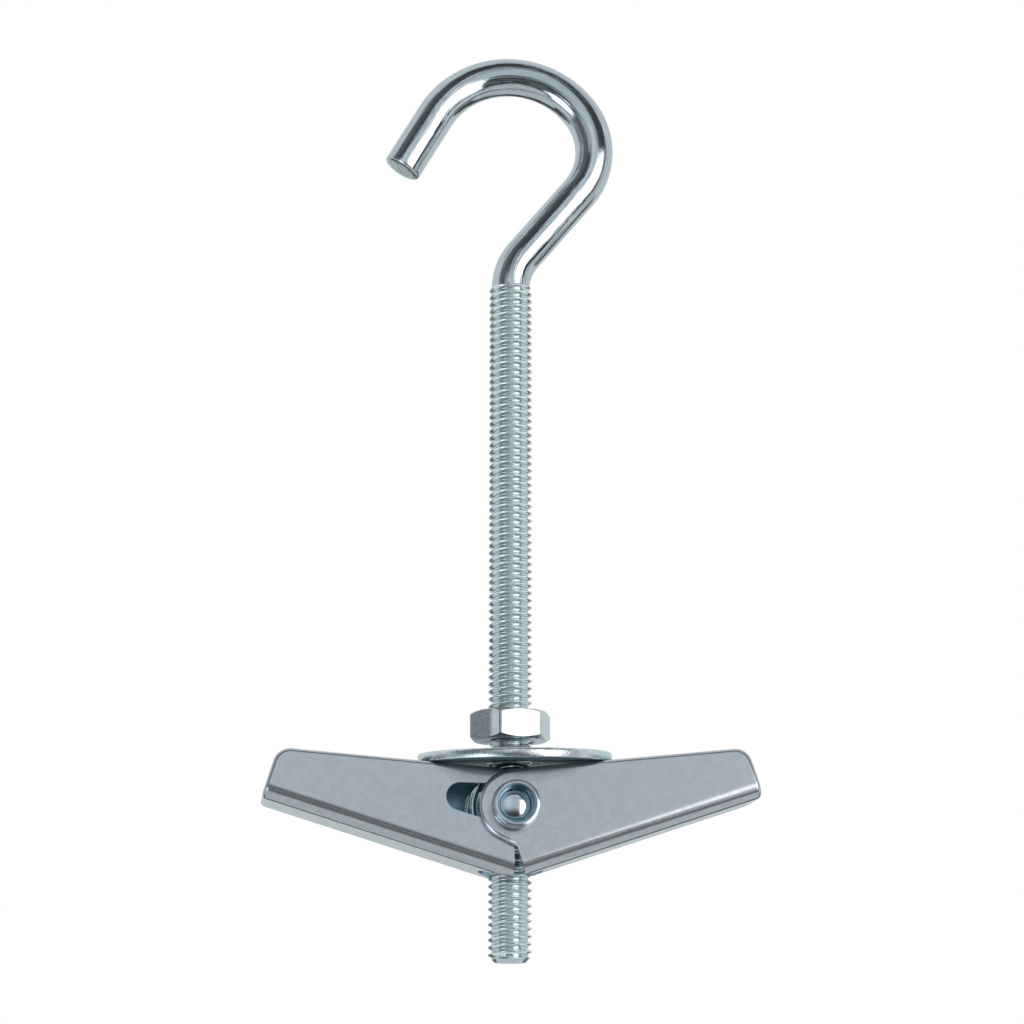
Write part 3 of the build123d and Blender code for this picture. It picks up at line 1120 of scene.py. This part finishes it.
@dataclass
class TorsionSpring:
    """The spring that opens the wings: two coils, a bow to the left and two free legs.

    A path here has six columns: the centres of the wire's rings, seen from the pivot, and
    the unit vectors that point out of the coil. The wire's cut ends are eased by a share
    of its radius, and each end ring is in from the side by so many easings.
    """

    pivot_z: float = PIVOT_Z
    wire_r: float = 0.425
    coil_r: float = 5.425
    coil_y: float = 3.475
    coil_pitch: float = 0.9
    coil_step: float = 6.0
    lean: float = 10.69
    toggle_lean: float = 0.65
    leg_length: float = 12.0
    leg_places: int = 12
    corner_r: float = 1.3
    corner_places: int = 9
    end_ease: float = 0.18
    end_insets: Border = (1.5, 0.5)
    sharp_angle: float = 50.0
    around: int = 16

    def coil(self, start: float, end: float) -> np.ndarray:
        """Return the coil's wire between two angles, at the front.

        A point at angle a is on the coil's circle, and its distance from the middle
        plane grows by one pitch a turn from the angle where the bow's leg arrives.

        Args:
            start: First angle in degrees.
            end: Last angle in degrees.

        Returns:
            The path.
        """
        angle = np.radians(np.linspace(start, end, max(2, int(abs(end - start) / self.coil_step))))
        turned = (angle - np.radians(-90.0 - self.lean)) / (2.0 * np.pi)
        out = np.stack([np.cos(angle), np.zeros_like(angle), np.sin(angle)], axis=-1)
        side = np.outer(-self.coil_y - self.coil_pitch * turned, [0.0, 1.0, 0.0])
        return np.hstack([out * self.coil_r + side, out])

    def leg_axes(self, side: float) -> tuple[np.ndarray, np.ndarray]:
        """Return the direction of a leaning leg and the way out of the coil beside it.

        Args:
            side: 1 for a leg to the right and -1 for one to the left.

        Returns:
            Two unit vectors.
        """
        across, up = np.cos(np.radians(self.lean)), np.sin(np.radians(self.lean))
        return np.array([side * across, 0.0, up]), np.array([side * up, 0.0, -across])

    def bow(self) -> np.ndarray:
        """Return the front half of the bow, from the middle plane to the coil.

        It runs along Y, turns by a quarter circle and follows the left leg's line.

        Returns:
            The path.
        """
        away, radial = self.leg_axes(-1.0)
        foot = radial * self.coil_r - np.array([0.0, self.coil_y, 0.0])
        turn = np.radians(np.linspace(90.0, 0.0, self.corner_places))[:, None]
        run = self.leg_length - self.corner_r
        rise = self.corner_r * (1 - np.cos(turn))
        corner = foot + away * (run + self.corner_r * np.sin(turn)) + np.array([0.0, 1.0, 0.0]) * rise
        middle = corner[:1] * np.array([1.0, 0.0, 1.0])
        leg = foot + away * run * np.linspace(1.0, 0.0, self.leg_places)[1:, None]
        centres = np.concatenate([middle, corner, leg])
        return np.hstack([centres, np.tile(radial, (len(centres), 1))])

    def free_leg(self) -> np.ndarray:
        """Return the front free leg, from the coil to its cut end.

        Returns:
            The path.
        """
        along, radial = self.leg_axes(1.0)
        turns = 1.0 + 2.0 * self.lean / 360.0
        foot = radial * self.coil_r - np.array([0.0, self.coil_y + self.coil_pitch * turns, 0.0])
        share = np.linspace(0.0, 1.0, self.leg_places)[1:, None]
        centres = foot + along * self.leg_length * share
        return np.hstack([centres, np.tile(radial, (len(centres), 1))])

    def wire(self, name: str, path: np.ndarray) -> bpy.types.Object:
        """Return a closed round wire along a path.

        Args:
            name: The piece's name.
            path: The path, before the toggle's lean.

        Returns:
            The piece, dressed.
        """
        turn = turn_matrix("Y", -self.toggle_lean).T
        centres = path[:, :3] @ turn + np.array([0.0, 0.0, self.pivot_z])
        normals = path[:, 3:] @ turn
        along = np.gradient(centres, axis=0)
        along /= np.linalg.norm(along, axis=1)[:, None]
        across = np.cross(along, normals)
        across /= np.linalg.norm(across, axis=1)[:, None]
        ease = self.wire_r * self.end_ease
        end = [0.0, *(self.wire_r - ease * inset for inset in self.end_insets)]
        repeat = np.r_[[0] * len(end), np.arange(len(centres)), [-1] * len(end)]
        radii = np.full(len(repeat), self.wire_r)
        radii[: len(end)], radii[-len(end) :] = end, end[::-1]
        spots = centres[repeat]
        spots[len(end)] += along[0] * ease
        spots[-1 - len(end)] -= along[-1] * ease
        grid = tube_points(spots, normals[repeat], across[repeat], radii, self.around)
        piece = grid_piece(name, grid, False)
        smooth_shade(piece, self.sharp_angle)
        dress(piece, Finish.SPRING)
        return piece

    def build(self) -> list[bpy.types.Object]:
        """Make the spring's pieces.

        Returns:
            The bow with the coils' first half turns, and the two free legs.
        """
        flip = np.array([1.0, -1.0, 1.0, 1.0, 1.0, 1.0])
        arrive, top, leave = -90.0 - self.lean, 90.0, 270.0 + self.lean
        half = np.concatenate([self.bow(), self.coil(arrive, top)[1:]])
        whole = np.concatenate([half[::-1], (half * flip)[1:]])
        side = np.concatenate([self.coil(top, leave), self.free_leg()])
        paths = {"spring_bow": whole, "spring_leg_front": side, "spring_leg_back": side * flip}
        made = [self.wire(name, path) for name, path in paths.items()]
        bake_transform(made[0])
        for piece in made[1:]:
            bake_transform(piece)
        for piece in made:
            LOG.info("%s: %d faces", piece.name, len(piece.data.polygons))
        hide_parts("torsion_spring")
        return made


@dataclass
class TrunnionNut:
    """The barrel that the wings turn on, as the frame has it, with its burnished stub ends."""

    node: str = "trunnion_nut"
    pivot_z: float = PIVOT_Z
    face_r: float = 2.05
    root_y: float = 6.3
    crown_y: float = 7.21
    crown_r: float = 6.1
    crown_rings: int = 14
    edge_round: float = 0.24
    edge_rings: int = 8
    edge_start: float = 10.0
    sharp_angle: float = 60.0
    around: int = 96

    def face_grid(self) -> np.ndarray:
        """Return a stub's end as rings round Y: a closed disc with a crowned face.

        The crown drops from its middle by the radius squared over twice the crown's
        own radius, and a quarter circle joins it to the side.

        Returns:
            Points in millimetres of shape (rings, around, 3).
        """
        inner = self.face_r - self.edge_round
        crown = inner * np.sqrt(np.linspace(0.0, 1.0, self.crown_rings))
        bend = np.radians(np.linspace(self.edge_start, 90.0, self.edge_rings))
        crown_y = self.crown_y - crown**2 / (2.0 * self.crown_r)
        radius = np.concatenate([crown, inner + self.edge_round * np.sin(bend), [self.face_r, 0.0]])
        fall = crown_y[-1] - self.edge_round * (1.0 - np.cos(bend))
        y = np.concatenate([crown_y, fall, [self.root_y, self.root_y]])
        return turned_points(radius, y, self.around)[..., [0, 2, 1]] + np.array([0.0, 0.0, self.pivot_z])

    def build(self) -> list[bpy.types.Object]:
        """Dress the frame's own node and add the faces of its two stubs.

        Returns:
            The node's object and the two faces.
        """
        made = [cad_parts[self.node]]
        dress(made[0], Finish.TRUNNION)
        LOG.info("%s: dressed as it is", self.node)
        grid = self.face_grid()
        for name, side in (("stub_face_front", -1.0), ("stub_face_back", 1.0)):
            piece = grid_piece(name, grid * np.array([1.0, side, 1.0]), False)
            smooth_shade(piece, self.sharp_angle)
            dress(piece, Finish.TRUNNION)
            seat(piece, Body.TOGGLE, Slot.TRUNNION)
            made.append(piece)
        return made


@dataclass
class Studio:
    """The camera, the white surroundings and the pale floor.

    The surroundings are told by direction: azimuth in degrees to the right of the camera,
    elevation, and spread, the angle from the camera's own direction. A white tent has a
    dark room round the camera, a bright lamp window in it to the right and a dimmer fill
    in the middle. Low to the left the room has a bright card and a paler ledge, and the
    tent has a dark pit low down beyond the room. Each has a level of brightness, and
    borders or bands in degrees.
    """

    distance: float = 382.7
    camera_z: float = -22.67
    azimuth: float = -6.0
    aim_offset: float = -0.031
    tilt: float = 12.3
    roll: float = 0.07
    lens: float = 101.14
    sensor: float = 36.0
    clip: tuple[float, float] = (0.01, 20.0)
    tent: Colour = (0.72, 0.79, 0.81)
    back: float = 0.85
    back_spread: Border = (140.0, 175.0)
    ground: float = 0.85
    ground_elevation: Border = (-40.0, -60.0)
    pit: float = 0.1
    pit_spread: Border = (100.0, 112.0)
    pit_elevation: Band = (-38.0, -15.0, 2.0)
    room: float = 0.08
    room_left: float = 0.2
    room_colour: Colour = (0.82, 0.93, 1.0)
    room_spread: Border = (81.0, 75.0)
    room_elevation: Border = (-57.0, -50.0)
    room_azimuth: Border = (-12.0, -64.0)
    ledge: float = 0.28
    ledge_elevation: Band = (-33.0, -28.0, 1.5)
    card: float = 2.8
    card_azimuth: Band = (-62.0, -28.0, 4.0)
    card_elevation: Band = (-46.0, -20.0, 4.0)
    window: float = 2.3
    window_azimuth: Band = (22.0, 62.0, 2.5)
    window_elevation: Band = (-40.0, 17.0, 3.0)
    window_corner: Border = (5.0, 11.0)
    fill: float = 0.9
    fill_azimuth: Band = (-38.0, 26.0, 5.0)
    fill_elevation: Border = (-16.0, 3.0)
    fill_top: Border = (27.0, 18.0)
    fill_raise: float = 20.0
    fill_raise_azimuth: Border = (-10.0, 2.0)
    fill_left: float = 0.55
    fill_left_azimuth: Border = (-6.0, -24.0)
    fill_right: float = 0.72
    fill_right_azimuth: Border = (0.0, 7.0)
    key: float = 6.5
    key_azimuth: float = 20.0
    key_elevation: float = 24.0
    key_width: float = 9.0
    floor_z: float = -60.0
    floor_r: float = 4000.0
    floor_rings: tuple[float, ...] = (0.0, 0.1, 0.4, 1.0)
    floor_around: int = 96
    floor_colour: Colour = (0.9, 0.9, 0.9)

    def make_camera(self) -> bpy.types.Object:
        """Make the camera, at the photograph's viewing angle.

        Returns:
            The camera, linked to the scene.
        """
        data = bpy.data.cameras.new("view_camera")
        data.sensor_width, data.lens = self.sensor, self.lens
        data.clip_start, data.clip_end = self.clip
        camera = bpy.data.objects.new("view_camera", data)
        bpy.context.scene.collection.objects.link(camera)
        side = np.radians(self.azimuth)
        spot = (self.distance * np.sin(side), -self.distance * np.cos(side), self.camera_z)
        turn = rotation(self.azimuth + self.aim_offset, "Z")
        turn = turn @ rotation(90.0 + self.tilt, "X") @ rotation(self.roll, "Z")
        camera.matrix_world = Matrix.Translation(Vector(spot) * MM) @ turn
        bpy.context.scene.camera = camera
        return camera

    def directions(self, graph: Graph) -> tuple[Term, Term, Term]:
        """Return where a ray of the world points, seen from the object, in degrees.

        With x, f and z its parts to the right, to the camera's side and up, azimuth is
        the arctangent of x over f, elevation the arcsine of z and spread the arccosine
        of f.

        Args:
            graph: The world's graph.

        Returns:
            Azimuth, elevation and spread.
        """
        way = graph.value("ShaderNodeTexCoord", {}, {}, "Generated")
        side = np.radians(self.azimuth)
        right = (float(np.cos(side)), float(np.sin(side)), 0.0)
        front = (float(np.sin(side)), float(-np.cos(side)), 0.0)
        x, f, z = (way.along(axis) for axis in (right, front, (0.0, 0.0, 1.0)))
        angles = x.math("ARCTAN2", f), z.math("ARCSINE"), f.math("ARCCOSINE")
        return tuple(angle * float(np.degrees(1.0)) for angle in angles)

    def make_surroundings(self) -> None:
        """Make the world: white to the camera, the studio to everything else."""
        world = bpy.data.worlds.new("studio")
        world.use_nodes = True
        bpy.context.scene.world = world
        graph = Graph(world.node_tree)
        azimuth, elevation, spread = self.directions(graph)
        room = spread.step(*self.room_spread) * elevation.step(*self.room_elevation)
        window = azimuth.within(*self.window_azimuth) * elevation.within(*self.window_elevation)
        window = window * (azimuth + elevation).step(*self.window_corner)
        top = elevation - azimuth.step(*self.fill_raise_azimuth) * self.fill_raise
        fill = azimuth.within(*self.fill_azimuth) * elevation.step(*self.fill_elevation)
        fill = fill * top.step(*self.fill_top)
        card = azimuth.within(*self.card_azimuth) * elevation.within(*self.card_elevation)
        pit = spread.step(*self.pit_spread) * elevation.within(*self.pit_elevation)
        dark = self.room + azimuth.step(*self.room_azimuth) * (self.room_left - self.room)
        dark = dark.covered(elevation.within(*self.ledge_elevation), self.ledge)
        dark = dark.covered(card, self.card)
        dim = self.fill - azimuth.step(*self.fill_left_azimuth) * (self.fill - self.fill_left)
        dim = dim - azimuth.step(*self.fill_right_azimuth) * (self.fill - self.fill_right)
        back = spread.step(*self.back_spread) * (1.0 - self.back)
        ground = elevation.step(*self.ground_elevation) * (1.0 - self.ground)
        level = (1.0 - back) * (1.0 - ground)
        for mask, value in ((pit, self.pit), (room, dark), (fill, dim), (window, self.window)):
            level = level.covered(mask, value)
        colour = window.mix(room.mix(self.tent, self.room_colour), WHITE)
        to_camera = graph.value("ShaderNodeLightPath", {}, {}, "Is Camera Ray")
        shown = {"Color": to_camera.mix(colour, WHITE), "Strength": level.covered(to_camera, 1.0)}
        light = graph.node("ShaderNodeBackground", {}, shown)
        graph.node("ShaderNodeOutputWorld", {}, {"Surface": light.outputs[0]})

    def make_key(self) -> None:
        """Make the soft key lamp from the window's side, which throws the shadows."""
        data = bpy.data.lights.new("key", "SUN")
        data.energy, data.angle = self.key, float(np.radians(self.key_width))
        lamp = bpy.data.objects.new("key", data)
        lamp.visible_glossy = False
        bpy.context.scene.collection.objects.link(lamp)
        turn = rotation(self.azimuth + self.key_azimuth, "Z")
        lamp.matrix_world = turn @ rotation(90.0 - self.key_elevation, "X")

    def make_floor(self) -> bpy.types.Object:
        """Make the pale floor under the object: a disc as rings of quads round a pole.

        Returns:
            The floor, declared as stage.
        """
        radius = np.array(self.floor_rings) * self.floor_r
        points = turned_points(radius, np.full(len(radius), self.floor_z), self.floor_around)
        piece = grid_piece("floor", points, False)
        made = bpy.data.materials.new("pale_floor")
        made.use_nodes = True
        graph = Graph(made.node_tree)
        shader = graph.node("ShaderNodeBsdfDiffuse", {}, {"Color": (*self.floor_colour, 1.0)})
        graph.node("ShaderNodeOutputMaterial", {}, {"Surface": shader.outputs[0]})
        piece.data.materials.append(made)
        piece.visible_glossy = False
        piece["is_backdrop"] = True
        return piece

    def build(self) -> None:
        """Make the camera, the surroundings, the lamp and the floor."""
        self.make_camera()
        self.make_surroundings()
        self.make_key()
        self.make_floor()
        bpy.context.scene.view_settings.view_transform = "Standard"


def corners() -> list[list[float]]:
    """Return the shown object's lowest and highest corner as plain lists."""
    return [list(map(float, corner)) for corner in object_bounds()]


def main() -> None:
    """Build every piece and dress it."""
    logging.basicConfig(level=logging.INFO, format="%(name)s: %(message)s")
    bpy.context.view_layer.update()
    parts = [Studio(), HookRod(), HexNut(), Washer(), TrunnionNut(), TorsionSpring()]
    parts += [Wing("right_wing", Body.RIGHT_WING), Wing("left_wing", Body.LEFT_WING)]
    for part in parts:
        part.build()


if __name__ == "__main__":
    main()
